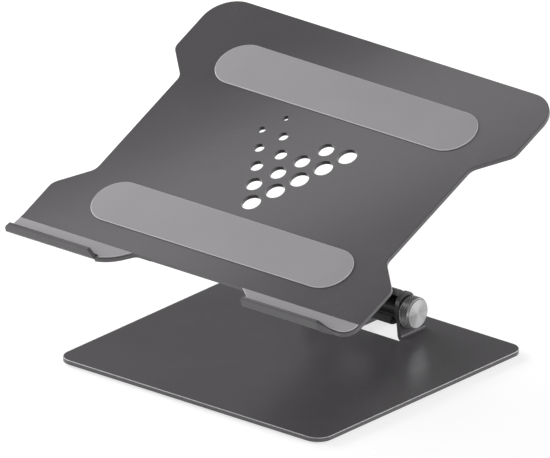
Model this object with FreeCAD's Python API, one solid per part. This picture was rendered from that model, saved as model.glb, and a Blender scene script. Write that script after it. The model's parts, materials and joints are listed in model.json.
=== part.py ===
import FreeCAD, Part
import math
import os

# Adjustable folding laptop stand: a sheet base with two bent-up ears, a rolled arm
# and a perforated tray with two front hooks. Millimetres and degrees, +Z up.
# The origin is on the desk, under the middle of the stand's outline. +Y points to the back.

# Base plate and feet
base_width = 224.0
base_depth = 208.0
base_thickness = 3.0
base_corner_radius = 11.0
plate_edge_round = 0.5
foot_diameter = 16.0
foot_height = 1.5
foot_edge_distance = 18.0
foot_edge_break = 0.3

# Lower hinge: ears bent out of the base plate
hinge_axis_back = 70.0
hinge_axis_height = 17.6
ear_head_radius = 8.0
ear_head_rise = 5.2
ear_head_forward = 0.7
ear_foot_forward = 6.5
ear_foot_back = 18.0
ear_bend_radius = 2.0
punch_margin = 4.7
punch_front_room = 1.7
punch_back_room = 0.4
punch_corner_radius = 2.0

# Hinge pieces, shared by the lower and the upper hinge
pin_diameter = 8.0
barrel_length = 71.0
barrel_diameter = 13.9
barrel_end_round = 0.8
washer_thickness = 1.3
washer_diameter = 16.0
bolt_head_diameter = 16.0
bolt_head_height = 4.2
bolt_head_round = 2.0

# Knob on the lower hinge bolt
knob_diameter = 22.0
knob_length = 8.0
knob_rim_chamfer = 0.9
knob_back_chamfer = 0.5
knob_thread_depth = 5.0
knob_end_room = 0.4
collar_diameter = 21.2
collar_thickness = 1.0

# Arm: one plate, rolled round both hinge barrels
arm_length = 153.7
arm_angle = 26.44
arm_width = 60.4
arm_thickness = 4.7
knuckle_width = 16.2
knuckle_past_bottom = 8.0
knuckle_gap_depth = 20.0
knuckle_gap_corner = 4.0

# Tray plate
tray_tilt = 24.4
tray_width = 288.4
tray_depth = 224.0
tray_thickness = 2.8
tray_back_corner_radius = 22.0
waist_inset = 21.0
waist_corner_radius = 9.0
front_wing_depth = 35.2
back_wing_depth = 53.1
pivot_from_fold = 30.0
pivot_below_tray = 16.5

# Vent holes: a leaning diamond of rows, each row smaller than the last
vent_pitch = 17.35
vent_row_angle = 58.5
vent_apex_from_fold = 69.0
vent_apex_offset = -1.1
vent_diameters = (13.4, 11.4, 9.2, 7.4, 5.6)
vent_counts = (5, 4, 2, 2, 2)
vent_last_shrink = 0.8

# Silicone pads on the tray
pad_length = 214.0
pad_width = 36.7
pad_thickness = 1.0
pad_edge_round = 0.4
front_pad_from_fold = 17.5
back_pad_from_back = 32.0

# Front hooks, bent up out of the tray's front edge
hook_lift = 6.0
hook_reach = 15.6
hook_lip_height = 6.3
hook_bend_radius = 0.8
hook_crest_round = 0.6
hook_root = 2.0
left_lip_length = 70.6
left_tip_round = 5.0
left_lip_taper = 4.0
left_tongue_length = 23.2
left_tongue_setback = 0.2
left_tongue_round = 32.0
left_root_round = 6.0
right_hook_width = 88.1
right_lip_length = 63.9
right_tip_round = 1.0
right_heel_round = 5.0
right_lip_taper = 12.0
right_corner_setback = 3.0
right_corner_round = 9.0
right_notch_width = 12.6
right_notch_knee_width = 3.6
right_notch_knee_reach = 6.5
right_notch_round = 12.0
hook_pad_inset = 0.8
hook_pad_corner = 1.5

# Tray brackets and their screws
bracket_thickness = 3.0
bracket_lug_radius = 9.5
bracket_foot_width = 18.0
bracket_foot_length = 38.5
bracket_bend_radius = 1.5
bracket_corner_radius = 3.0
screw_diameter = 4.0
screw_head_diameter = 7.2
screw_head_height = 2.4
screw_head_round = 0.8
screw_spacing = 18.0
screw_from_foot_end = 9.0
screw_tip_depth = 0.3
nut_across_flats = 13.0
nut_height = 6.5
nut_washer_diameter = 16.0
nut_washer_thickness = 1.6
bolt_past_nut = 1.5

# Clearances
running_clearance = 0.05
seat_clearance = 0.05
side_clearance = 0.1

# Places worked out from the sizes above, with Y measured from the middle of the base
base_bottom = foot_height
base_top = base_bottom + base_thickness
lower_axis = FreeCAD.Vector(0, hinge_axis_back, base_top + hinge_axis_height)

arm_half_width = arm_width / 2
barrel_radius = barrel_diameter / 2
barrel_end = barrel_length / 2
cheek_inner = barrel_end + washer_thickness + 2 * side_clearance
ear_outer = cheek_inner + base_thickness
lug_outer = cheek_inner + bracket_thickness
pin_radius = pin_diameter / 2
running_bore = pin_radius + running_clearance
fixed_bore = pin_radius + seat_clearance
knuckle_inner_radius = barrel_radius + seat_clearance
knuckle_outer_radius = knuckle_inner_radius + arm_thickness

arm_run = arm_length * math.cos(math.radians(arm_angle))
arm_rise = arm_length * math.sin(math.radians(arm_angle))
upper_axis = lower_axis + FreeCAD.Vector(0, -arm_run, arm_rise)

tray_half_width = tray_width / 2
waist_half_width = tray_half_width - waist_inset
hook_bend_outer = hook_bend_radius + tray_thickness
hook_inner_reach = hook_reach - tray_thickness
left_tongue_reach = hook_reach - left_tongue_setback
right_corner_reach = hook_reach - right_corner_setback

X_AXIS = FreeCAD.Vector(1, 0, 0)
ORIGIN = FreeCAD.Vector(0, 0, 0)


# Planes that an outline can be drawn in

def on_xy(a, b):
    return FreeCAD.Vector(a, b, 0)


def on_yz(a, b):
    return FreeCAD.Vector(0, a, b)


def on_xz(a, b):
    return FreeCAD.Vector(a, 0, b)


# Outline and solid helpers

def outline(corners, plane):
    """Face from corners (a, b, radius) on a plane, each corner rounded by its radius."""
    corners = [corner for index, corner in enumerate(corners) if corner[:2] != corners[index - 1][:2]]
    points = [FreeCAD.Vector(a, b, 0) for a, b, radius in corners]
    count = len(points)
    stretches = []
    for index, (a, b, radius) in enumerate(corners):
        corner = points[index]
        inward = (corner - points[index - 1]).normalize()
        outward = (points[(index + 1) % count] - corner).normalize()
        turn = inward.getAngle(outward)
        if radius == 0 or turn < 1e-6:
            stretches.append((corner, corner, corner))
            continue
        tangent = radius * math.tan(turn / 2)
        start = corner - inward * tangent
        end = corner + outward * tangent
        to_centre = (outward - inward).normalize()
        centre = corner + to_centre * (radius / math.cos(turn / 2))
        stretches.append((start, centre - to_centre * radius, end))
    edges = []
    for index, (start, middle, end) in enumerate(stretches):
        previous_end = stretches[index - 1][2]
        if (start - previous_end).Length > 1e-6:
            line = Part.LineSegment(plane(previous_end.x, previous_end.y), plane(start.x, start.y))
            edges.append(line.toShape())
        if (end - start).Length > 1e-6:
            arc = Part.Arc(plane(start.x, start.y), plane(middle.x, middle.y), plane(end.x, end.y))
            edges.append(arc.toShape())
    return Part.Face(Part.Wire(Part.__sortEdges__(edges)))


def plate(corners, bottom, top):
    """Flat plate from an outline in X and Y."""
    face = outline(corners, on_xy)
    face.translate(FreeCAD.Vector(0, 0, bottom))
    return face.extrude(FreeCAD.Vector(0, 0, top - bottom))


def across(corners, left, right):
    """Solid from an outline in Y and Z, extruded from left to right along X."""
    face = outline(corners, on_yz)
    face.translate(FreeCAD.Vector(left, 0, 0))
    return face.extrude(FreeCAD.Vector(right - left, 0, 0))


def disc(radius, left, right):
    """Cylinder round the X axis."""
    return Part.makeCylinder(radius, right - left, FreeCAD.Vector(left, 0, 0), X_AXIS)


def ring(outer, inner, left, right):
    """Plain washer or sleeve round the X axis."""
    return disc(outer, left, right).cut(disc(inner, left, right))


def turned(profile):
    """Solid of revolution round the X axis from corners (x, radius, corner_radius)."""
    face = outline(profile, on_xz)
    return face.revolve(ORIGIN, X_AXIS, 360)


def level_edges(shape, level, keep):
    """Edges of a shape that lie at one level and pass a test on their middle point."""
    found = []
    for edge in shape.Edges:
        box = edge.BoundBox
        flat = abs(box.ZMin - level) < 1e-6 and abs(box.ZMax - level) < 1e-6
        if flat and keep(edge.CenterOfMass):
            found.append(edge)
    return found


def rounded_rectangle(half_width, half_depth, radius, centre_y=0.0):
    front = centre_y - half_depth
    back = centre_y + half_depth
    return [
        (-half_width, front, radius),
        (half_width, front, radius),
        (half_width, back, radius),
        (-half_width, back, radius),
    ]


def mirrored(shape):
    return shape.mirror(ORIGIN, X_AXIS)


# Placing: pieces are drawn in the frame of what carries them

def at_lower_hinge(shape):
    shape.translate(lower_axis)
    return shape


def at_upper_hinge(shape):
    """From the upper axis, turned with the tray."""
    shape.rotate(ORIGIN, X_AXIS, tray_tilt)
    shape.translate(upper_axis)
    return shape


def on_arm(shape):
    """From the arm's frame: lower axis at the origin, upper axis along -Y."""
    shape.rotate(ORIGIN, X_AXIS, -arm_angle)
    shape.translate(lower_axis)
    return shape


def on_tray(shape):
    """From the tray's frame: X along the fold line, Y back along the plate, Z = 0 on its top face."""
    shape.translate(FreeCAD.Vector(0, -pivot_from_fold, pivot_below_tray))
    shape.rotate(ORIGIN, X_AXIS, tray_tilt)
    shape.translate(upper_axis)
    return shape


def on_flange(shape):
    """From a hook's frame to the tray's: the flange is bent up a little at the fold line."""
    shape.rotate(ORIGIN, X_AXIS, -hook_lift)
    return shape


# Base

ear_head_middle = hinge_axis_back - ear_head_forward
ear_front = hinge_axis_back - ear_foot_forward
ear_back = hinge_axis_back + ear_foot_back
bend_line = ear_outer + ear_bend_radius
bend_outer_radius = ear_bend_radius + base_thickness
bend_allowance = (ear_bend_radius + base_thickness / 2) * math.pi / 2
ear_height = hinge_axis_height + ear_head_rise + ear_head_radius
ear_flat_length = bend_allowance + ear_height - ear_bend_radius


def ear_profile():
    """Ear outline in Y and Z: a round head with an edge sloping from each side of it to the foot."""
    foot_level = base_top + ear_bend_radius
    centre = on_yz(ear_head_middle, lower_axis.z + ear_head_rise)
    front_foot = on_yz(ear_front, foot_level)
    back_foot = on_yz(ear_back, foot_level)

    def on_head(angle):
        return centre + on_yz(math.cos(angle), math.sin(angle)) * ear_head_radius

    def touch(foot, side):
        """Angle at which the line from a foot touches the head on one side."""
        away = foot - centre
        return math.atan2(away.z, away.y) + side * math.acos(ear_head_radius / away.Length)

    front_angle = touch(front_foot, -1) + 2 * math.pi
    back_angle = touch(back_foot, 1)
    front_top = on_head(front_angle)
    back_top = on_head(back_angle)
    edges = [
        Part.LineSegment(front_foot, front_top).toShape(),
        Part.Arc(front_top, on_head((front_angle + back_angle) / 2), back_top).toShape(),
        Part.LineSegment(back_top, back_foot).toShape(),
        Part.LineSegment(back_foot, front_foot).toShape(),
    ]
    return Part.Face(Part.Wire(edges))


def ear():
    """Right-hand ear with its bend, drawn in place."""
    face = ear_profile()
    face.translate(FreeCAD.Vector(cheek_inner, 0, 0))
    blade = face.extrude(FreeCAD.Vector(base_thickness, 0, 0))
    along = FreeCAD.Vector(0, ear_back - ear_front, 0)
    start = FreeCAD.Vector(bend_line, ear_front, base_top + ear_bend_radius)
    outer = Part.makeCylinder(bend_outer_radius, along.Length, start, along)
    inner = Part.makeCylinder(ear_bend_radius, along.Length, start, along)
    quarter = Part.makeBox(bend_outer_radius, along.Length, bend_outer_radius)
    quarter.translate(FreeCAD.Vector(cheek_inner, ear_front, base_bottom))
    return blade.fuse(outer.common(quarter).cut(inner))


def ear_window():
    """Opening left in the plate where the right-hand ear was cut free and bent up."""
    inner_edge = bend_line - ear_flat_length - punch_margin
    front = ear_head_middle - ear_head_radius - punch_front_room
    back = ear_back + punch_back_room
    corners = [
        (inner_edge, front, punch_corner_radius),
        (bend_line, front, 0),
        (bend_line, back, 0),
        (inner_edge, back, punch_corner_radius),
    ]
    return plate(corners, base_bottom, base_top)


def base_plate():
    corners = rounded_rectangle(base_width / 2, base_depth / 2, base_corner_radius)
    sheet = plate(corners, base_bottom, base_top)
    sheet = sheet.makeFillet(plate_edge_round, level_edges(sheet, base_top, lambda middle: True))
    window = ear_window()
    sheet = sheet.cut(window).cut(mirrored(window))
    right_ear = ear()
    sheet = sheet.fuse([right_ear, mirrored(right_ear)])
    round_hole = at_lower_hinge(disc(fixed_bore, 0, ear_outer + pin_diameter))
    side = pin_diameter + 2 * seat_clearance
    square_hole = Part.makeBox(ear_outer + pin_diameter, side, side)
    square_hole.translate(FreeCAD.Vector(-ear_outer - pin_diameter, -side / 2, -side / 2))
    sheet = sheet.cut(round_hole).cut(at_lower_hinge(square_hole))
    return sheet.removeSplitter()


def foot(side, end):
    """Round stick-on foot under one corner of the base."""
    x = side * (base_width / 2 - foot_edge_distance)
    y = end * (base_depth / 2 - foot_edge_distance)
    body = Part.makeCylinder(foot_diameter / 2, foot_height, FreeCAD.Vector(x, y, 0))
    return body.makeChamfer(foot_edge_break, level_edges(body, 0.0, lambda middle: True))


# Hinge pieces, drawn round the X axis

def barrel():
    """Sleeve that turns on a hinge bolt and stands out at both sides of the arm."""
    profile = [
        (-barrel_end, running_bore, 0),
        (barrel_end, running_bore, 0),
        (barrel_end, barrel_radius, barrel_end_round),
        (-barrel_end, barrel_radius, barrel_end_round),
    ]
    return turned(profile)


def friction_washer():
    """Right-hand washer between a barrel and its ear or lug."""
    left = barrel_end + side_clearance
    return ring(washer_diameter / 2, fixed_bore, left, left + washer_thickness)


def bolt(cheek_outer, tip):
    """Hinge bolt with a domed head and a square neck at its left end."""
    head_end = -cheek_outer - bolt_head_height
    profile = [
        (head_end, 0, 0),
        (tip, 0, 0),
        (tip, pin_radius, 0),
        (-cheek_outer, pin_radius, 0),
        (-cheek_outer, bolt_head_diameter / 2, 0),
        (head_end, bolt_head_diameter / 2, bolt_head_round),
    ]
    neck = Part.makeBox(cheek_outer - cheek_inner, pin_diameter, pin_diameter)
    neck.translate(FreeCAD.Vector(-cheek_outer, -pin_radius, -pin_radius))
    return turned(profile).fuse(neck).removeSplitter()


knob_back = ear_outer + collar_thickness + side_clearance
knob_face = knob_back + knob_length


def collar():
    """Black washer between the right ear and the knob."""
    return ring(collar_diameter / 2, fixed_bore, ear_outer, ear_outer + collar_thickness)


def knob():
    """Turned knob with a chamfered rim and a blind threaded bore."""
    radius = knob_diameter / 2
    bore_end = knob_back + knob_thread_depth + knob_end_room
    profile = [
        (knob_back, running_bore, 0),
        (knob_back, radius - knob_back_chamfer, 0),
        (knob_back + knob_back_chamfer, radius, 0),
        (knob_face - knob_rim_chamfer, radius, 0),
        (knob_face, radius - knob_rim_chamfer, 0),
        (knob_face, 0, 0),
        (bore_end, 0, 0),
        (bore_end, running_bore, 0),
    ]
    return turned(profile)


def nut():
    """Hexagon lock nut on the upper bolt."""
    left = lug_outer + nut_washer_thickness
    corner_radius = nut_across_flats / math.sqrt(3)
    flats = []
    for index in range(6):
        angle = math.radians(60 * index)
        flats.append((corner_radius * math.cos(angle), corner_radius * math.sin(angle), 0))
    return across(flats, left, left + nut_height).cut(disc(fixed_bore, left, left + nut_height))


def nut_washer():
    return ring(nut_washer_diameter / 2, fixed_bore, lug_outer, lug_outer + nut_washer_thickness)


# Arm

def arm_profile():
    """Plate profile in Y and Z: a flat top with a downward roll at each end."""
    end_angle = math.radians(-90 - knuckle_past_bottom)

    def around(centre_y, radius, angle, side):
        return on_yz(centre_y + side * radius * math.cos(angle), radius * math.sin(angle))

    outer = knuckle_outer_radius
    inner = knuckle_inner_radius
    top = math.pi / 2
    ends = {}
    for name, centre_y, side in (("lower", 0.0, 1), ("upper", -arm_length, -1)):
        for radius in (outer, inner):
            ends[name, radius] = (
                around(centre_y, radius, top, side),
                around(centre_y, radius, 0.0, side),
                around(centre_y, radius, end_angle, side),
            )
    edges = []
    for radius in (outer, inner):
        for name in ("lower", "upper"):
            edges.append(Part.Arc(*ends[name, radius]).toShape())
        edges.append(Part.LineSegment(ends["lower", radius][0], ends["upper", radius][0]).toShape())
    for name in ("lower", "upper"):
        edges.append(Part.LineSegment(ends[name, outer][2], ends[name, inner][2]).toShape())
    return Part.Face(Part.Wire(Part.__sortEdges__(edges)))


def arm():
    face = arm_profile()
    face.translate(FreeCAD.Vector(-arm_half_width, 0, 0))
    body = face.extrude(FreeCAD.Vector(arm_width, 0, 0))
    gap_half = arm_half_width - knuckle_width
    reach = knuckle_outer_radius + knuckle_gap_corner
    half_depth = (reach + knuckle_gap_depth) / 2
    height = 2 * knuckle_outer_radius
    for centre_y in (reach - half_depth, half_depth - reach - arm_length):
        corners = rounded_rectangle(gap_half, half_depth, knuckle_gap_corner, centre_y)
        body = body.cut(plate(corners, -height, height))
    return body


# Tray

def tray_outline():
    half = tray_half_width
    waist = waist_half_width
    turn = waist_corner_radius
    front_jog = front_wing_depth
    front_waist = front_jog + waist_inset
    back_jog = tray_depth - back_wing_depth
    back_waist = back_jog - waist_inset
    right = [
        (half, 0, 0),
        (half, front_jog, turn),
        (waist, front_waist, turn),
        (waist, back_waist, turn),
        (half, back_jog, turn),
        (half, tray_depth, tray_back_corner_radius),
    ]
    left = [(-x, y, radius) for x, y, radius in reversed(right)]
    return right + left


def vent_holes():
    """Cutters for the vents: rows lean left and right from one apex."""
    step_x = vent_pitch * math.cos(math.radians(vent_row_angle))
    step_y = vent_pitch * math.sin(math.radians(vent_row_angle))
    holes = []
    for row, (diameter, count) in enumerate(zip(vent_diameters, vent_counts)):
        for place in range(count):
            x = vent_apex_offset + (place - row) * step_x
            y = vent_apex_from_fold + (place + row) * step_y
            last = row == len(vent_counts) - 1 and place == count - 1
            radius = diameter / 2 * (vent_last_shrink if last else 1.0)
            bottom = FreeCAD.Vector(x, y, -2 * tray_thickness)
            holes.append(Part.makeCylinder(radius, 3 * tray_thickness, bottom))
    return holes


def screw_places():
    """Screw centres in the tray's frame, two in each bracket foot."""
    x = lug_outer + bracket_foot_width / 2
    back = pivot_from_fold - bracket_lug_radius + bracket_foot_length - screw_from_foot_end
    return [(side * x, y) for side in (-1, 1) for y in (back - screw_spacing, back)]


def in_hook_frame(along, up):
    """A point of the tray's frame, given in Y and Z, as seen in a hook's frame."""
    lift = math.radians(hook_lift)
    return (
        along * math.cos(lift) - up * math.sin(lift),
        along * math.sin(lift) + up * math.cos(lift),
    )


def hook_section(front_corners):
    """Section of a hook in its own frame: the given front, and a root that joins the plate."""
    top_root = in_hook_frame(hook_root, 0)
    bottom_root = in_hook_frame(hook_root, -tray_thickness)
    mitre = tray_thickness * math.tan(math.radians(hook_lift) / 2)
    root = [
        (mitre, -tray_thickness, 0),
        (bottom_root[0], bottom_root[1], 0),
        (top_root[0], top_root[1], 0),
        (0, 0, 0),
    ]
    return front_corners + root


def lip_section():
    front = [
        (-hook_inner_reach, 0, hook_bend_radius),
        (-hook_inner_reach, hook_lip_height, hook_crest_round),
        (-hook_reach, hook_lip_height, hook_crest_round),
        (-hook_reach, -tray_thickness, hook_bend_outer),
    ]
    return hook_section(front)


def tongue_section():
    front = [
        (-hook_reach, 0, 0),
        (-hook_reach, -tray_thickness, 0),
    ]
    return hook_section(front)


def lip(start, length, taper, plan, run_in, tip_round):
    """Flange with its lip, cut to a plan outline and to the lip's rounded and tapered ends."""
    end = start + length + taper
    body = across(lip_section(), start - run_in, end)
    body = body.common(plate(plan, -hook_reach, hook_reach))
    front_view = [
        (start - run_in, -hook_reach, 0),
        (end, -hook_reach, 0),
        (end, 0, 0),
        (end - taper, hook_lip_height, 0),
        (start, hook_lip_height, tip_round),
        (start, 0, 0),
        (start - run_in, 0, 0),
    ]
    face = outline(front_view, on_xz)
    face.translate(FreeCAD.Vector(0, -2 * hook_reach, 0))
    return body.common(face.extrude(FreeCAD.Vector(0, 4 * hook_reach, 0)))


def heel(start, size):
    """Cutter that rounds the lower left corner of a lip."""
    back = -hook_inner_reach + hook_bend_radius
    front = -2 * hook_reach
    block = Part.makeBox(2 * size, back - front, 2 * size)
    block.translate(FreeCAD.Vector(start - size, front, -tray_thickness - size))
    middle = FreeCAD.Vector(start + size, front, size - tray_thickness)
    return block.cut(Part.makeCylinder(size, back - front, middle, FreeCAD.Vector(0, 1, 0)))


def tongue(start, end, plan):
    """Flat flange beside the lip, cut to a plan outline."""
    return across(tongue_section(), start, end).common(plate(plan, -hook_reach, hook_reach))


left_start = -tray_half_width
left_lip_end = left_start + left_lip_length + left_lip_taper
left_end = left_lip_end + left_tongue_length
right_start = tray_half_width - right_hook_width
right_lip_end = right_start + right_lip_length + right_lip_taper


def left_hook():
    """Left hook: lip from the tray's edge, then a tongue that sweeps back to the front edge."""
    lip_plan = [
        (left_start, hook_reach, 0),
        (left_start, -2 * hook_reach, 0),
        (left_lip_end, -2 * hook_reach, 0),
        (left_lip_end, hook_reach, 0),
    ]
    run_out = left_end + 2 * left_root_round
    tongue_plan = [
        (left_start, hook_reach, 0),
        (left_start, -left_tongue_reach, 0),
        (left_end - left_tongue_reach, -left_tongue_reach, left_tongue_round),
        (left_end, 0, left_root_round),
        (run_out, 0, 0),
        (run_out, hook_reach, 0),
    ]
    body = lip(left_start, left_lip_length, left_lip_taper, lip_plan, 0.0, left_tip_round)
    return body.fuse(tongue(left_lip_end, run_out, tongue_plan))


def right_hook():
    """Right hook: a rounded notch, the lip, then a flat corner at the tray's edge."""
    run_in = right_notch_width + hook_root
    lip_plan = [
        (right_start - run_in, hook_reach, 0),
        (right_start - run_in, 0, 0),
        (right_start - right_notch_width, 0, 0),
        (right_start - right_notch_knee_width, -right_notch_knee_reach, right_notch_round),
        (right_start, -hook_reach, 0),
        (right_start, -2 * hook_reach, 0),
        (right_lip_end - right_lip_taper, -2 * hook_reach, 0),
        (right_lip_end - right_lip_taper, -hook_reach, 0),
        (right_lip_end, -right_corner_reach, 0),
        (right_lip_end, hook_reach, 0),
    ]
    corner_plan = [
        (right_lip_end, hook_reach, 0),
        (right_lip_end, -right_corner_reach, 0),
        (tray_half_width, -right_corner_reach, right_corner_round),
        (tray_half_width, hook_reach, 0),
    ]
    body = lip(right_start, right_lip_length, right_lip_taper, lip_plan, run_in, right_tip_round)
    body = body.cut(heel(right_start, right_heel_round))
    return body.fuse(tongue(right_lip_end, tray_half_width, corner_plan))


def tray_plate():
    sheet = plate(tray_outline(), -tray_thickness, 0)
    sheet = sheet.makeFillet(plate_edge_round, level_edges(sheet, 0.0, lambda middle: middle.y > 0))
    cutters = vent_holes()
    for x, y in screw_places():
        bottom = FreeCAD.Vector(x, y, -2 * tray_thickness)
        cutters.append(Part.makeCylinder(screw_diameter / 2 + seat_clearance, 3 * tray_thickness, bottom))
    sheet = sheet.cut(cutters)
    sheet = sheet.fuse([on_flange(left_hook()), on_flange(right_hook())])
    return sheet.removeSplitter()


def pad(front):
    """Long raised pad with round ends, lying on the tray."""
    corners = rounded_rectangle(pad_length / 2, pad_width / 2, pad_width / 2, front + pad_width / 2)
    body = plate(corners, 0, pad_thickness)
    return body.makeFillet(pad_edge_round, level_edges(body, pad_thickness, lambda middle: True))


hook_pad_reach = hook_inner_reach - hook_bend_radius - hook_pad_inset / 2
tongue_pad_reach = left_tongue_reach - hook_pad_inset
right_pad_reach = min(hook_pad_reach, right_corner_reach - hook_pad_inset)


def left_hook_pad():
    """Strip pad that runs behind the lip and widens over the tongue."""
    inset = hook_pad_inset
    slope_end = left_end - inset * math.sqrt(2)
    corners = [
        (left_start + inset, -inset, 0),
        (left_start + inset, -tongue_pad_reach, 0),
        (slope_end - tongue_pad_reach, -tongue_pad_reach, left_tongue_round - inset),
        (slope_end - inset, -inset, 0),
    ]
    step = left_lip_end + inset
    lip_room = [
        (left_start, -hook_pad_reach, 0),
        (left_start, -hook_reach, 0),
        (step + hook_reach - hook_pad_reach, -hook_reach, 0),
        (step, -hook_pad_reach, hook_pad_corner),
    ]
    return plate(corners, 0, pad_thickness).cut(plate(lip_room, 0, pad_thickness))


def right_hook_pad():
    """Strip pad that follows the notch at its left end and the rounded corner at its right."""
    inset = hook_pad_inset
    knee_x = right_start - right_notch_knee_width
    share = (right_pad_reach - right_notch_knee_reach) / (hook_reach - right_notch_knee_reach)
    corners = [
        (right_start - right_notch_width + 2 * inset, -inset, 0),
        (knee_x + inset, -right_notch_knee_reach, right_notch_round),
        (knee_x + inset + share * right_notch_knee_width, -right_pad_reach, 0),
        (tray_half_width - inset, -right_pad_reach, right_corner_round - inset),
        (tray_half_width - inset, -inset, 0),
    ]
    return plate(corners, 0, pad_thickness)


# Tray brackets

foot_front = pivot_from_fold - bracket_lug_radius
foot_back = foot_front + bracket_foot_length
foot_top = -tray_thickness
foot_bottom = foot_top - bracket_thickness


def bracket():
    """Right-hand bracket: a foot under the tray and a round-ended lug bent down from it."""
    lug_bottom = -pivot_below_tray - bracket_lug_radius
    bend_outer = bracket_bend_radius + bracket_thickness
    angle_section = [
        (cheek_inner, foot_top, bend_outer),
        (cheek_inner, lug_bottom, 0),
        (lug_outer, lug_bottom, 0),
        (lug_outer, foot_bottom, bracket_bend_radius),
        (lug_outer + bracket_foot_width, foot_bottom, 0),
        (lug_outer + bracket_foot_width, foot_top, 0),
    ]
    side_view = [
        (foot_front, foot_top, 0),
        (foot_back, foot_top, 0),
        (foot_back, foot_bottom, 0),
        (pivot_from_fold + bracket_lug_radius, foot_bottom, bracket_corner_radius),
        (pivot_from_fold + bracket_lug_radius, lug_bottom, bracket_lug_radius),
        (pivot_from_fold - bracket_lug_radius, lug_bottom, bracket_lug_radius),
    ]
    face = outline(angle_section, on_xz)
    face.translate(FreeCAD.Vector(0, foot_front, 0))
    body = face.extrude(FreeCAD.Vector(0, bracket_foot_length, 0))
    body = body.common(across(side_view, cheek_inner, lug_outer + bracket_foot_width))
    for x, y in screw_places():
        bottom = FreeCAD.Vector(abs(x), y, foot_bottom - tray_thickness)
        radius = screw_diameter / 2 + 2 * seat_clearance
        body = body.cut(Part.makeCylinder(radius, bracket_thickness + 2 * tray_thickness, bottom))
    return body


def pin_hole(shape, hole):
    """Cut a hole, drawn round the hinge axis, in a piece drawn in the tray's frame."""
    hole.translate(FreeCAD.Vector(0, pivot_from_fold, -pivot_below_tray))
    return shape.cut(hole)


def right_bracket():
    return pin_hole(bracket(), disc(fixed_bore, cheek_inner, lug_outer))


def left_bracket():
    side = pin_diameter + 2 * seat_clearance
    hole = Part.makeBox(bracket_thickness, side, side)
    hole.translate(FreeCAD.Vector(-lug_outer, -side / 2, -side / 2))
    return pin_hole(mirrored(bracket()), hole)


def bracket_screws():
    """Pan-head screws, up through the bracket feet into the tray, under the front pad."""
    screws = []
    for x, y in screw_places():
        head_bottom = foot_bottom - screw_head_height
        start = FreeCAD.Vector(x, y, head_bottom)
        head = Part.makeCylinder(screw_head_diameter / 2, screw_head_height, start)
        head = head.makeFillet(screw_head_round, level_edges(head, head_bottom, lambda middle: True))
        shank_length = tray_thickness + bracket_thickness - screw_tip_depth
        shank = Part.makeCylinder(screw_diameter / 2, shank_length, FreeCAD.Vector(x, y, foot_bottom))
        screws.append(head.fuse(shank).removeSplitter())
    return Part.makeCompound(screws)


# Assembly

lower_bolt_tip = knob_back + knob_thread_depth
upper_bolt_tip = lug_outer + nut_washer_thickness + nut_height + bolt_past_nut

pieces = {
    "base_plate": base_plate(),
    "hinge_bolt": at_lower_hinge(bolt(ear_outer, lower_bolt_tip)),
    "hinge_washer_right": at_lower_hinge(friction_washer()),
    "hinge_washer_left": at_lower_hinge(mirrored(friction_washer())),
    "knob_collar": at_lower_hinge(collar()),
    "knob": at_lower_hinge(knob()),
    "arm_plate": on_arm(arm()),
    "lower_barrel": at_lower_hinge(barrel()),
    "upper_barrel": at_upper_hinge(barrel()),
    "tray_plate": on_tray(tray_plate()),
    "front_pad": on_tray(pad(front_pad_from_fold)),
    "back_pad": on_tray(pad(tray_depth - back_pad_from_back - pad_width)),
    "hook_pad_left": on_tray(on_flange(left_hook_pad())),
    "hook_pad_right": on_tray(on_flange(right_hook_pad())),
    "tray_bracket_right": on_tray(right_bracket()),
    "tray_bracket_left": on_tray(left_bracket()),
    "bracket_screws": on_tray(bracket_screws()),
    "tray_bolt": at_upper_hinge(bolt(lug_outer, upper_bolt_tip)),
    "tray_washer_right": at_upper_hinge(friction_washer()),
    "tray_washer_left": at_upper_hinge(mirrored(friction_washer())),
    "nut_washer": at_upper_hinge(nut_washer()),
    "tray_nut": at_upper_hinge(nut()),
}
for end_name, end in (("front", -1), ("rear", 1)):
    for side_name, side in (("left", -1), ("right", 1)):
        pieces["foot_" + end_name + "_" + side_name] = foot(side, end)

# Last, everything is moved so that the origin is under the middle of the whole outline
whole = Part.makeCompound(list(pieces.values())).optimalBoundingBox(False, False)
os.makedirs("parts", exist_ok=True)
for name, shape in pieces.items():
    shape.translate(FreeCAD.Vector(0, -whole.Center.y, 0))
    shape.exportStep("parts/" + name + ".step")
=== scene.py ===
import json
import math

import bmesh
import bpy
from mathutils import Matrix, Vector


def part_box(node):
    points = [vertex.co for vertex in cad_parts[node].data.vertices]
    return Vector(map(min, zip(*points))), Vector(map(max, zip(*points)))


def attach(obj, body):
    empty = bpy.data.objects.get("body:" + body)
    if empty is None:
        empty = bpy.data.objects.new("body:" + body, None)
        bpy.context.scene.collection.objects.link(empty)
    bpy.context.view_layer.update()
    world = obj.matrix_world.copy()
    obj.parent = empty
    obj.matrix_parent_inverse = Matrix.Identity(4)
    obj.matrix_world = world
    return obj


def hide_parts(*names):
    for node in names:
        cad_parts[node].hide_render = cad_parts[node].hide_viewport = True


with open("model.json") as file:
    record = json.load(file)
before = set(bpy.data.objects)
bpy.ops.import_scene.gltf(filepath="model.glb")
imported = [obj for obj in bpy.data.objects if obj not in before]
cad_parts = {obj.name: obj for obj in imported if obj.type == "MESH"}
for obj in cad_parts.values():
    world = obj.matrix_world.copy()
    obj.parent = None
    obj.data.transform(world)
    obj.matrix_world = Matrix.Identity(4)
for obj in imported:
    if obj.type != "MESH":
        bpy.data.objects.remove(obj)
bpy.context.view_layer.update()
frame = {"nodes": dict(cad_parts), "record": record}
nodes = frame["nodes"]
scene = bpy.context.scene
scene.view_settings.view_transform = "Standard"

MM = 0.001


# Shader helpers

NOISE_LOW = 0.3
NOISE_HIGH = 0.7


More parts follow.
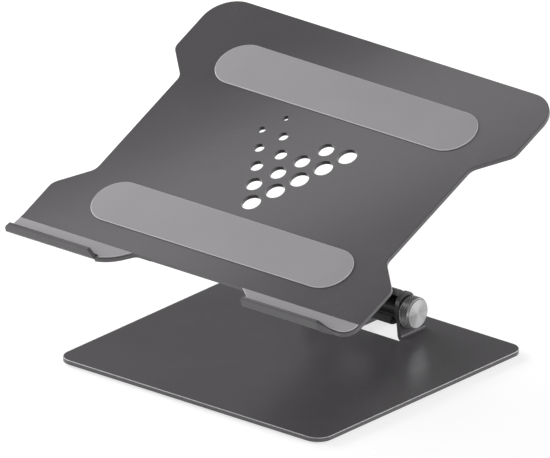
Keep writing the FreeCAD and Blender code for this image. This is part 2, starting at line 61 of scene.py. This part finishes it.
def new_material(name):
    material = bpy.data.materials.new(name)
    material.use_nodes = True
    tree = material.node_tree
    tree.nodes.clear()
    output = tree.nodes.new("ShaderNodeOutputMaterial")
    shader = tree.nodes.new("ShaderNodeBsdfPrincipled")
    tree.links.new(shader.outputs["BSDF"], output.inputs["Surface"])
    return material, tree, shader


def object_coordinates(tree):
    return tree.nodes.new("ShaderNodeTexCoord").outputs["Object"]


def mesh_value(tree, name):
    """A value that a scene piece stores on its mesh."""
    node = tree.nodes.new("ShaderNodeAttribute")
    node.attribute_name = name
    return node.outputs["Fac"]


def noise(tree, vector, scale, detail, roughness, stretch=None):
    if stretch is not None:
        mapping = tree.nodes.new("ShaderNodeMapping")
        mapping.inputs["Scale"].default_value = stretch
        tree.links.new(vector, mapping.inputs["Vector"])
        vector = mapping.outputs["Vector"]
    node = tree.nodes.new("ShaderNodeTexNoise")
    node.inputs["Scale"].default_value = scale
    node.inputs["Detail"].default_value = detail
    node.inputs["Roughness"].default_value = roughness
    tree.links.new(vector, node.inputs["Vector"])
    return node.outputs["Fac"]


def spread(tree, value, low, high, from_low=NOISE_LOW, from_high=NOISE_HIGH):
    """A value, by default a noise, spread over a range of roughness or factor."""
    node = tree.nodes.new("ShaderNodeMapRange")
    node.inputs["From Min"].default_value = from_low
    node.inputs["From Max"].default_value = from_high
    node.inputs["To Min"].default_value = low
    node.inputs["To Max"].default_value = high
    tree.links.new(value, node.inputs["Value"])
    return node.outputs["Result"]


def tones(tree, value, stops):
    """Colour led by a value, through stops of position and tone."""
    node = tree.nodes.new("ShaderNodeValToRGB")
    elements = node.color_ramp.elements
    for element, (position, tone) in ((elements[0], stops[0]), (elements[1], stops[-1])):
        element.position = position
        element.color = (*tone, 1)
    for position, tone in stops[1:-1]:
        elements.new(position).color = (*tone, 1)
    tree.links.new(value, node.inputs["Fac"])
    return node.outputs["Color"]


def two_tones(tree, value, dark, light):
    """Colour between two tones, led by a noise."""
    return tones(tree, value, ((NOISE_LOW, dark), (NOISE_HIGH, light)))


def mixed(tree, first, second, factor=0.5):
    node = tree.nodes.new("ShaderNodeMix")
    node.data_type = "FLOAT"
    node.inputs["Factor"].default_value = factor
    tree.links.new(first, node.inputs["A"])
    tree.links.new(second, node.inputs["B"])
    return node.outputs["Result"]


def tinted(tree, colour, factor, tint):
    """A colour that gives way to a fixed tint where the factor is high."""
    node = tree.nodes.new("ShaderNodeMix")
    node.data_type = "RGBA"
    tree.links.new(factor, node.inputs["Factor"])
    tree.links.new(colour, node.inputs["A"])
    node.inputs["B"].default_value = (*tint, 1)
    return node.outputs["Result"]


def math_of(tree, operation, first, second):
    node = tree.nodes.new("ShaderNodeMath")
    node.operation = operation
    tree.links.new(first, node.inputs[0])
    tree.links.new(second, node.inputs[1])
    return node.outputs["Value"]


def bump(tree, shader, height, strength, distance):
    node = tree.nodes.new("ShaderNodeBump")
    node.inputs["Strength"].default_value = strength
    node.inputs["Distance"].default_value = distance
    tree.links.new(height, node.inputs["Height"])
    tree.links.new(node.outputs["Normal"], shader.inputs["Normal"])


# Materials

SHEET_DARK = (0.094, 0.089, 0.094)
SHEET_LIGHT = (0.117, 0.111, 0.117)
SHEET_METALLIC = 0.25
# Colour of the painted highlight on the base's top edge
PAINTED_EDGE_HIGHLIGHT = (0.6, 0.59, 0.6)
BLACK = (0, 0, 0)
WHITE = (1, 1, 1)


def painted_edge_highlight(tree, tone, place, hinge):
    """Painted highlight on the top edge: a lighter tone on the rounding between a level face and a wall,
    away from the hinge's bends.
    """
    bends_end = 54 * MM
    edge_begins = 58 * MM
    slope = tree.nodes.new("ShaderNodeSeparateXYZ")
    tree.links.new(tree.nodes.new("ShaderNodeTexCoord").outputs["Normal"], slope.inputs["Vector"])
    # Painted highlight: a lighter tone where the surface turns from level towards a wall
    stops = ((0.12, BLACK), (0.25, WHITE), (0.92, WHITE), (0.97, BLACK))
    highlight_band = tones(tree, slope.outputs["Z"], stops)
    apart = tree.nodes.new("ShaderNodeVectorMath")
    apart.operation = "DISTANCE"
    apart.inputs[1].default_value = hinge
    tree.links.new(place, apart.inputs[0])
    away = spread(tree, apart.outputs["Value"], 0, 1, bends_end, edge_begins)
    return tinted(tree, tone, math_of(tree, "MULTIPLY", highlight_band, away), PAINTED_EDGE_HIGHLIGHT)


def anodised(name, dark, light, metallic, hinge=None):
    """Anodised metal: blasted grain with a faint, broad cloudiness; a painted highlight on the top edge
    where a hinge is given.
    """
    material, tree, shader = new_material(name)
    place = object_coordinates(tree)
    grain = noise(tree, place, scale=2600, detail=3, roughness=0.6)
    cloud = noise(tree, place, scale=14, detail=3, roughness=0.55)
    tone = two_tones(tree, mixed(tree, grain, cloud, 0.45), dark, light)
    # Painted highlight on the top edge, kept away from the hinge
    if hinge is not None:
        tone = painted_edge_highlight(tree, tone, place, hinge)
    tree.links.new(tone, shader.inputs["Base Color"])
    tree.links.new(spread(tree, mixed(tree, grain, cloud), 0.22, 0.29), shader.inputs["Roughness"])
    shader.inputs["Metallic"].default_value = metallic
    bump(tree, shader, grain, strength=0.1, distance=0.04 * MM)
    return material


def silicone():
    """Light grey silicone with a fine matte skin, and a painted highlight: paler on the rolled edge."""
    material, tree, shader = new_material("silicone")
    place = object_coordinates(tree)
    skin = noise(tree, place, scale=1900, detail=3, roughness=0.65)
    cloud = noise(tree, place, scale=20, detail=2, roughness=0.5)
    tone = two_tones(tree, mixed(tree, skin, cloud), (0.330, 0.317, 0.330), (0.368, 0.354, 0.368))
    # Painted highlight: a paler tone on the rolled edge
    tone = tinted(tree, tone, mesh_value(tree, "painted_rim_highlight"), (0.70, 0.68, 0.70))
    tree.links.new(tone, shader.inputs["Base Color"])
    tree.links.new(spread(tree, skin, 0.62, 0.78), shader.inputs["Roughness"])
    shader.inputs["Specular IOR Level"].default_value = 0.3
    bump(tree, shader, skin, strength=0.15, distance=0.05 * MM)
    return material


def black_steel():
    """Black oxide steel, oily and glossy, with fine wear lines."""
    material, tree, shader = new_material("black_steel")
    place = object_coordinates(tree)
    lines = noise(tree, place, scale=900, detail=3, roughness=0.6, stretch=(6.0, 1.0, 1.0))
    cloud = noise(tree, place, scale=160, detail=3, roughness=0.6)
    wear = mixed(tree, lines, cloud)
    tone = two_tones(tree, wear, (0.008, 0.008, 0.009), (0.017, 0.017, 0.018))
    tree.links.new(tone, shader.inputs["Base Color"])
    tree.links.new(spread(tree, wear, 0.24, 0.36), shader.inputs["Roughness"])
    shader.inputs["Specular IOR Level"].default_value = 0.25
    bump(tree, shader, lines, strength=0.06, distance=0.03 * MM)
    return material


def black_polymer():
    """Matte black moulded polymer."""
    material, tree, shader = new_material("black_polymer")
    grain = noise(tree, object_coordinates(tree), scale=2200, detail=3, roughness=0.6)
    tone = two_tones(tree, grain, (0.010, 0.010, 0.011), (0.018, 0.018, 0.019))
    tree.links.new(tone, shader.inputs["Base Color"])
    tree.links.new(spread(tree, grain, 0.42, 0.6), shader.inputs["Roughness"])
    bump(tree, shader, grain, strength=0.12, distance=0.05 * MM)
    return material


def turned_metal():
    """Bright metal with ring-shaped turning marks round the local X axis; painted shade in the knurl's
    grooves and at the face's edge, painted highlights on the knurl's crests.
    """
    painted_groove_shade = (0.015, 0.015, 0.016)
    worn = (0.66, 0.66, 0.67)
    painted_crest_highlight = (0.93, 0.93, 0.94)
    material, tree, shader = new_material("turned_metal")
    place = object_coordinates(tree)
    wave = tree.nodes.new("ShaderNodeTexWave")
    wave.wave_type = "RINGS"
    wave.rings_direction = "X"
    wave.inputs["Scale"].default_value = 1500
    wave.inputs["Distortion"].default_value = 1.2
    wave.inputs["Detail"].default_value = 3
    tree.links.new(place, wave.inputs["Vector"])
    rings = wave.outputs["Fac"]
    cloud = noise(tree, place, scale=500, detail=3, roughness=0.6)
    marks = mixed(tree, rings, cloud, 0.6)
    # Painted shade and highlight: the stored level darkens the grooves and the face's edge and lightens
    # the crests
    height = mixed(tree, marks, mesh_value(tree, "painted_knurl_light"), 0.75)
    tone = tones(tree, height, ((0.15, painted_groove_shade), (0.72, worn), (0.95, painted_crest_highlight)))
    tree.links.new(tone, shader.inputs["Base Color"])
    shader.inputs["Metallic"].default_value = 0.7
    shader.inputs["Roughness"].default_value = 0.34
    shader.inputs["Anisotropic"].default_value = 0.97
    shader.inputs["Anisotropic Rotation"].default_value = 0.25
    tangent = tree.nodes.new("ShaderNodeTangent")
    tangent.direction_type = "RADIAL"
    tangent.axis = "X"
    tree.links.new(tangent.outputs["Tangent"], shader.inputs["Tangent"])
    bump(tree, shader, rings, strength=0.06, distance=0.02 * MM)
    return material


def base_sheet():
    """The anodised sheet with the painted highlight on the base's top edge; its hinge is given in the
    base plate's own frame.
    """
    low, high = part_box("knob_collar")
    hinge = Vector((0, (low.y + high.y) / 2, 0))
    hinge = nodes["base_plate"].matrix_world.inverted() @ hinge
    return anodised("anodised_base", SHEET_DARK, SHEET_LIGHT, SHEET_METALLIC, hinge)


def dress(node, material):
    node.data.materials.clear()
    node.data.materials.append(material)


materials = {
    "anodised_sheet": anodised("anodised_sheet", SHEET_DARK, SHEET_LIGHT, SHEET_METALLIC),
    "black_anodised": anodised("black_anodised", (0.018, 0.017, 0.018), (0.026, 0.025, 0.026), 0.0),
    "silicone": silicone(),
    "black_steel": black_steel(),
    "black_polymer": black_polymer(),
    "turned_metal": turned_metal(),
}
for part in frame["record"]["subparts"]:
    dress(nodes[part["node"]], materials[part["material_slot"]])
dress(nodes["base_plate"], base_sheet())


# Mesh helpers

WELD_DISTANCE = 0.001 * MM


def welded(node):
    """A CAD node's mesh in the scene's frame, with the corners of neighbouring faces joined."""
    work = bmesh.new()
    work.from_mesh(node.data)
    work.transform(node.matrix_world)
    bmesh.ops.remove_doubles(work, verts=work.verts, dist=WELD_DISTANCE)
    work.normal_update()
    return work


def solids_of(node):
    """Corner places of each separate solid in a CAD node."""
    work = welded(node)
    seen = set()
    solids = []
    for start in work.verts:
        if start in seen:
            continue
        seen.add(start)
        found = [start]
        for vert in found:
            for edge in vert.link_edges:
                other = edge.other_vert(vert)
                if other not in seen:
                    seen.add(other)
                    found.append(other)
        solids.append([vert.co.copy() for vert in found])
    work.free()
    return solids


def band_faces(start, rings, around, closed=False):
    """Faces between rings of corners; they look outwards where the rings rise along their axis."""
    faces = []
    for ring in range(rings if closed else rings - 1):
        one = start + ring * around
        two = start + (ring + 1) % rings * around
        for step in range(around):
            after = (step + 1) % around
            faces.append((one + step, one + after, two + after, two + step))
    return faces


def add_piece(name, points, faces, location, body, node, slot):
    """A scene piece in place of a CAD node, from corners given round its location."""
    mesh = bpy.data.meshes.new(name)
    mesh.from_pydata(points, [], faces)
    mesh.validate()
    mesh.update()
    mesh.materials.append(materials[slot])
    piece = bpy.data.objects.new(name, mesh)
    scene.collection.objects.link(piece)
    piece.location = location
    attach(piece, body)
    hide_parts(node)
    return mesh


def store_values(mesh, name, values):
    mesh.attributes.new(name, "FLOAT", "POINT").data.foreach_set("value", values)


# Silicone pads and feet: moulded pieces with a rolled edge, from the outline that each one is stuck on by

FACING_DOWN = -1
FACING_UP = 1
SAME_DIRECTION = 0.999
SAME_LEVEL = 0.01 * MM


def stuck_outline(node, facing):
    """The face by which a pad is stuck on: corners in order, outward direction and the pad's height."""
    work = welded(node)
    outward = [face for face in work.faces if face.normal.z * facing > 0.5]
    widest = max(outward, key=lambda face: face.calc_area())
    down = widest.normal.copy()
    level = widest.verts[0].co.dot(down)
    height = level - min(vert.co.dot(down) for vert in work.verts)
    parallel = [face for face in outward if face.normal.dot(down) > SAME_DIRECTION]
    flat = [face for face in parallel if abs(face.verts[0].co.dot(down) - level) < SAME_LEVEL]
    members = set(flat)
    following = {}
    for face in flat:
        for loop in face.loops:
            if sum(other in members for other in loop.edge.link_faces) == 1:
                following[loop.vert] = loop.link_loop_next.vert
    corners = [next(iter(following))]
    while following[corners[-1]] is not corners[0]:
        corners.append(following[corners[-1]])
    places = [vert.co.copy() for vert in corners]
    work.free()
    return places, down, height


def moved_in(places, down, distance):
    """An outline moved inwards in its own plane; its corners run round the face's outward direction."""
    count = len(places)
    moved = []
    for index, place in enumerate(places):
        before = (place - places[index - 1]).normalized()
        after = (places[(index + 1) % count] - place).normalized()
        side_one = down.cross(before)
        side_two = down.cross(after)
        moved.append(place + (side_one + side_two) * (distance / (1 + side_one.dot(side_two))))
    return moved


def pad_profile(height, roll, crown_inset, crown):
    """Rings of a pad from the stuck face up: inset, rise and the strength of the painted highlight on the
    rolled edge there.
    """
    roll_steps = 5
    land = 0.2 * MM
    shoulder = height - crown
    profile = [(0.0, 0.0, 0.0)]
    for step in range(roll_steps + 1):
        angle = math.pi / 2 * step / roll_steps
        inset = roll * (1 - math.cos(angle))
        rise = shoulder - roll + roll * math.sin(angle)
        profile.append((inset, rise, math.sin(2 * angle)))
    profile.append((roll + land, shoulder, 0.0))
    profile.append((roll + crown_inset, shoulder + 0.7 * crown, 0.0))
    profile.append((roll + 1.5 * crown_inset, height, 0.0))
    return profile


def moulded_pad(name, facing, body, roll, crown_inset, crown=0.0):
    places, down, height = stuck_outline(nodes[name], facing)
    count = len(places)
    middle = sum(places, Vector()) / count
    profile = pad_profile(height, roll, crown_inset, crown)
    points = []
    rim_highlight_values = []
    for inset, rise, rim_highlight in profile:
        points += [place - down * rise - middle for place in moved_in(places, down, inset)]
        rim_highlight_values += [rim_highlight] * count
    # The rings rise against the direction that their corners run round, so the faces are turned over
    faces = [tuple(range(count))]
    faces += [face[::-1] for face in band_faces(0, len(profile), count)]
    faces.append(tuple(reversed(range(len(points) - count, len(points)))))
    mesh = add_piece("moulded_" + name, points, faces, middle, body, name, "silicone")
    mesh.polygons.foreach_set("use_smooth", [index > 0 for index in range(len(mesh.polygons))])
    # Strength of the painted highlight on each ring of the rolled edge
    store_values(mesh, "painted_rim_highlight", rim_highlight_values)


for name in ("front_pad", "back_pad"):
    moulded_pad(name, FACING_DOWN, "tray", roll=0.5 * MM, crown_inset=4.0 * MM, crown=0.12 * MM)
for name in ("hook_pad_left", "hook_pad_right"):
    moulded_pad(name, FACING_DOWN, "tray", roll=0.3 * MM, crown_inset=0.4 * MM)
for name in ("foot_front_left", "foot_front_right", "foot_rear_left", "foot_rear_right"):
    moulded_pad(name, FACING_UP, "base", roll=0.4 * MM, crown_inset=1.0 * MM)


# Knob: knurled rim, chamfers, blind bore and a turned face, built round the local X axis

def saw(value):
    """A wave of straight flanks that is 0 at whole numbers and 1 half-way between them."""
    return 1 - 2 * abs(value - math.floor(value) - 0.5)


def knob_piece():
    low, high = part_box("knob")
    axis = (low + high) / 2
    radius = (high.z - low.z) / 2
    start = low.x
    end = high.x
    corners = solids_of(nodes["knob"])[0]
    inside = [(place.x, math.hypot(place.y - axis.y, place.z - axis.z)) for place in corners]
    bore = min(reach for x, reach in inside)
    bore_end = max(x for x, reach in inside if reach < 1.05 * bore)

    chamfer = 0.9 * MM
    back_chamfer = 0.5 * MM
    depth = 0.5 * MM
    edge_land = 0.3 * MM
    teeth = 40
    per_tooth = 6
    fade_rows = 1.5
    face_light_level = 0.8
    painted_face_edge_shade = 0.35
    crest_highlight_power = 0.8
    around = teeth * per_tooth
    first = start + back_chamfer
    last = end - chamfer
    crossings = round((last - first) * teeth / (2 * math.pi * radius))
    rows = crossings * per_tooth
    lead = crossings / (last - first)
    face_edge = radius - chamfer - depth

    sections = [(bore_end, bore, 0), (start, bore, 0), (start, radius - back_chamfer - depth, 0)]
    for row in range(rows + 1):
        fade = min(1.0, row / fade_rows, (rows - row) / fade_rows)
        sections.append((first + (last - first) * row / rows, radius - depth * (1 - fade), fade))
    for reach in (face_edge, face_edge - edge_land, 0.6 * radius, 0.25 * radius):
        sections.append((end, reach, 0))

    points = []
    painted_knurl_light = []
    for x, reach, knurl in sections:
        lean = (x - first) * lead
        for step in range(around):
            turn = step / around
            tooth = min(saw(turn * teeth + lean), saw(turn * teeth - lean))
            local = reach - depth * knurl * (1 - tooth)
            angle = 2 * math.pi * turn
            points.append((x, local * math.cos(angle), local * math.sin(angle)))
            # Painted light per corner: a dark ring at the face's edge, dark grooves and light crests in
            # the knurl
            if reach == face_edge:
                painted_knurl_light.append(painted_face_edge_shade)
            else:
                painted_knurl_light.append(face_light_level + knurl * (tooth ** crest_highlight_power - face_light_level))

    # Each face starts one corner on, so that it folds along its other diagonal
    faces = [face[1:] + face[:1] for face in band_faces(0, len(sections), around)]
    tip = (len(sections) - 1) * around
    centre = len(points)
    back = centre + 1
    points += [(end, 0, 0), (bore_end, 0, 0)]
    painted_knurl_light += [face_light_level, face_light_level]
    for step in range(around):
        after = (step + 1) % around
        faces.append((tip + after, centre, tip + step))
        faces.append((step, back, after))
    location = (0, axis.y, axis.z)
    mesh = add_piece("knurled_knob", points, faces, location, "clamp_knob", "knob", "turned_metal")
    store_values(mesh, "painted_knurl_light", painted_knurl_light)


# Nut and bracket screws: turned forms with chamfered flats and hexagon sockets

AROUND = 72
SHARP_ANGLE = math.radians(28)


def turned_points(origin, axis, side, stations):
    """Rings of corners round an axis; a station with flats is cut by a hexagon with a corner at side."""
    across = axis.cross(side)
    points = []
    for along, radius, flats in stations:
        for step in range(AROUND):
            angle = 2 * math.pi * step / AROUND
            reach = radius
            if flats:
                reach = min(radius, flats / math.cos((angle % (math.pi / 3)) - math.pi / 6))
            outward = side * math.cos(angle) + across * math.sin(angle)
            points.append(origin + axis * along + outward * reach)
    return points


def steel_piece(name, node, points, faces, smooth):
    middle = sum(points, Vector()) / len(points)
    local = [point - middle for point in points]
    mesh = add_piece(name, local, faces, middle, "tray", node, "black_steel")
    mesh.polygons.foreach_set("use_smooth", [smooth] * len(mesh.polygons))
    mesh.set_sharp_from_angle(angle=SHARP_ANGLE)


def chamfered_nut():
    low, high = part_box("tray_nut")
    washer_low, washer_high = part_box("nut_washer")
    washer_middle = (washer_low + washer_high) / 2
    outwards = 1 if (low.x + high.x) / 2 > washer_middle.x else -1
    bearing = low.x if outwards > 0 else high.x
    origin = Vector((bearing, washer_middle.y, washer_middle.z))
    corners = solids_of(nodes["tray_nut"])[0]
    spokes = [Vector((0, place.y - origin.y, place.z - origin.z)) for place in corners]
    longest = max(spokes, key=lambda spoke: spoke.length)
    bore = min(spoke.length for spoke in spokes)
    flats = longest.length * math.cos(math.pi / 6)
    height = high.x - low.x
    face_radius = 0.96 * flats
    bore_chamfer = 0.4 * MM
    # Cone that cuts the corners: inset from the face, and radius as a share of the flats' half width
    cone = ((0.15 * MM, 1.0), (0.35 * MM, 1.05), (0.55 * MM, 1.1), (0.8 * MM, 2.0))
    stations = [(0, bore, 0), (0, face_radius, 0)]
    stations += [(inset, share * flats, flats) for inset, share in cone]
    stations += [(height - inset, share * flats, flats) for inset, share in reversed(cone)]
    stations.append((height, face_radius, 0))
    stations.append((height, bore + bore_chamfer, 0))
    stations.append((height - bore_chamfer, bore, 0))
    points = turned_points(origin, Vector((outwards, 0, 0)), longest.normalized(), stations)
    faces = band_faces(0, len(stations), AROUND, closed=True)
    steel_piece("chamfered_nut", "tray_nut", points, faces, smooth=False)


def screw_stations(shank, head, bearing, length):
    """Profile of a pan-head screw from its tip to its head, with a hexagon socket."""
    roll = 0.8 * MM
    roll_steps = 6
    socket = 1.5 * MM
    socket_depth = 1.4 * MM
    socket_chamfer = 0.25 * MM
    drill_end = 1.7 * MM
    stations = [(0, shank, 0), (bearing, shank, 0), (bearing, head, 0)]
    for step in range(roll_steps + 1):
        angle = math.pi / 2 * step / roll_steps
        stations.append((length - roll * (1 - math.sin(angle)), head - roll * (1 - math.cos(angle)), 0))
    stations += [
        (length, 1.25 * socket, 0),
        (length - socket_chamfer, 2 * socket, socket),
        (length - socket_depth, 2 * socket, socket),
        (length - drill_end, 0.2 * socket, 0),
    ]
    return stations


def socket_screws():
    axis = stuck_outline(nodes["front_pad"], FACING_DOWN)[1]
    points = []
    faces = []
    for corners in solids_of(nodes["bracket_screws"]):
        middle = sum(corners, Vector()) / len(corners)
        tip = min(place.dot(axis) for place in corners)
        origin = middle + axis * (tip - middle.dot(axis))
        profile = []
        for place in corners:
            along = place.dot(axis) - tip
            profile.append((along, (place - origin - axis * along).length))
        length = max(along for along, reach in profile)
        head = max(reach for along, reach in profile)
        shank = max(reach for along, reach in profile if along < 0.3 * length)
        bearing = min(along for along, reach in profile if reach > 0.95 * head)
        stations = screw_stations(shank, head, bearing, length)
        start = len(points)
        points += turned_points(origin, axis, Vector((1, 0, 0)), stations)
        faces += band_faces(start, len(stations), AROUND)
        faces.append(tuple(reversed(range(start, start + AROUND))))
        faces.append(tuple(range(len(points) - AROUND, len(points))))
    steel_piece("socket_screws", "bracket_screws", points, faces, smooth=True)


knob_piece()
chamfered_nut()
socket_screws()


# Stage: pale floor that takes the shadow, and soft light from all round

def floor_material():
    """Pale to the camera and in reflections, with the shadow kept; mid grey for the light it returns."""
    material = bpy.data.materials.new("studio_floor")
    material.use_nodes = True
    tree = material.node_tree
    tree.nodes.clear()
    output = tree.nodes.new("ShaderNodeOutputMaterial")
    rays = tree.nodes.new("ShaderNodeLightPath").outputs
    seen = math_of(tree, "MAXIMUM", rays["Is Camera Ray"], rays["Is Glossy Ray"])
    seen = math_of(tree, "MAXIMUM", seen, rays["Is Transmission Ray"])
    bounce = tree.nodes.new("ShaderNodeBsdfDiffuse")
    bounce.inputs["Color"].default_value = (0.5, 0.5, 0.5, 1)
    pale = tree.nodes.new("ShaderNodeBsdfDiffuse")
    pale.inputs["Color"].default_value = (0.4, 0.4, 0.4, 1)
    glow = tree.nodes.new("ShaderNodeEmission")
    glow.inputs["Color"].default_value = (1, 1, 1, 1)
    glow.inputs["Strength"].default_value = 0.68
    both = tree.nodes.new("ShaderNodeAddShader")
    tree.links.new(pale.outputs["BSDF"], both.inputs[0])
    tree.links.new(glow.outputs["Emission"], both.inputs[1])
    mix = tree.nodes.new("ShaderNodeMixShader")
    tree.links.new(seen, mix.inputs["Fac"])
    tree.links.new(bounce.outputs["BSDF"], mix.inputs[1])
    tree.links.new(both.outputs["Shader"], mix.inputs[2])
    tree.links.new(mix.outputs["Shader"], output.inputs["Surface"])
    return material


def floor_piece():
    half = 12.0
    corners = [(-half, -half, 0), (half, -half, 0), (half, half, 0), (-half, half, 0)]
    mesh = bpy.data.meshes.new("floor")
    mesh.from_pydata(corners, [], [(0, 1, 2, 3)])
    mesh.materials.append(floor_material())
    piece = bpy.data.objects.new("floor", mesh)
    scene.collection.objects.link(piece)


floor_piece()

world = bpy.data.worlds.new("studio")
scene.world = world
world.use_nodes = True
world.node_tree.nodes["Background"].inputs["Color"].default_value = (1, 1, 1, 1)
world.node_tree.nodes["Background"].inputs["Strength"].default_value = 0.2


def soft_light(name, place, target, along, size, watts, glossy=True, diffuse=True):
    """Rectangular panel: without gloss it leaves no mirror image, without diffuse it is only a sheen."""
    data = bpy.data.lights.new(name, "AREA")
    data.shape = "RECTANGLE"
    data.size = size[0]
    data.size_y = size[1]
    data.energy = watts
    lamp = bpy.data.objects.new(name, data)
    scene.collection.objects.link(lamp)
    lamp.location = place
    lamp.rotation_mode = "QUATERNION"
    away = (Vector(place) - Vector(target)).normalized()
    across = away.cross(Vector(along)).normalized()
    lamp.rotation_quaternion = Matrix((across.cross(away), across, away)).transposed().to_quaternion()
    lamp.visible_camera = False
    lamp.visible_glossy = glossy
    lamp.visible_diffuse = diffuse


stand = (0.0, 0.0, 0.05)
tray_front = (-0.040, -0.081, 0.096)
strip_place = (-0.218, -0.026, 0.331)
strip_along = (0.55, 0.756, 0.343)
left_place = (-1.10, 0.0, 0.52)
right_place = (1.10, 0.0, 0.52)
back_right_place = (0.84, 0.84, 0.26)
front_left_place = (-0.84, -0.84, 0.26)
front_place = (0.0, -1.10, 0.52)
depthwise = (0, 1, 0)
crosswise = (1, 0, 0)
diagonal = (0.707, -0.707, 0)
soft_light("strip", strip_place, tray_front, strip_along, size=(0.7, 0.09), watts=0.29, diffuse=False)
soft_light("left", left_place, stand, depthwise, size=(1.6, 0.5), watts=19.5, glossy=False)
soft_light("left_sheen", left_place, stand, depthwise, size=(1.6, 0.5), watts=4.5)
soft_light("right", right_place, stand, depthwise, size=(1.4, 0.5), watts=8.0, glossy=False)
soft_light("back_right", back_right_place, stand, diagonal, size=(1.3, 0.4), watts=3.5)
soft_light("front_left", front_left_place, stand, diagonal, size=(1.3, 0.4), watts=2.2)
soft_light("front", front_place, stand, crosswise, size=(1.4, 0.5), watts=2.0)


# Camera: parallel projection from the front right, a little above

azimuth = math.radians(40.0)
elevation = math.radians(22.3)
pixels_per_metre = 1539.0
photo_width_pixels = 550
base_right_of_middle_pixels = 15.95
base_below_middle_pixels = 122.9
base_top_height = 4.5 * MM
camera_distance = 1.2

to_camera = Vector((
    math.sin(azimuth) * math.cos(elevation),
    -math.cos(azimuth) * math.cos(elevation),
    math.sin(elevation),
))
right = Vector((math.cos(azimuth), math.sin(azimuth), 0))
up = to_camera.cross(right)
base_low, base_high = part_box("base_plate")
base_middle = Vector((0, (base_low.y + base_high.y) / 2, base_top_height))
photo_middle = base_middle - right * (base_right_of_middle_pixels / pixels_per_metre)
photo_middle += up * (base_below_middle_pixels / pixels_per_metre)
camera_data = bpy.data.cameras.new("camera")
camera_data.type = "ORTHO"
camera_data.ortho_scale = photo_width_pixels / pixels_per_metre
camera = bpy.data.objects.new("camera", camera_data)
scene.collection.objects.link(camera)
camera.rotation_mode = "QUATERNION"
camera.rotation_quaternion = Matrix((right, up, to_camera)).transposed().to_quaternion()
camera.location = photo_middle + to_camera * camera_distance
scene.camera = camera
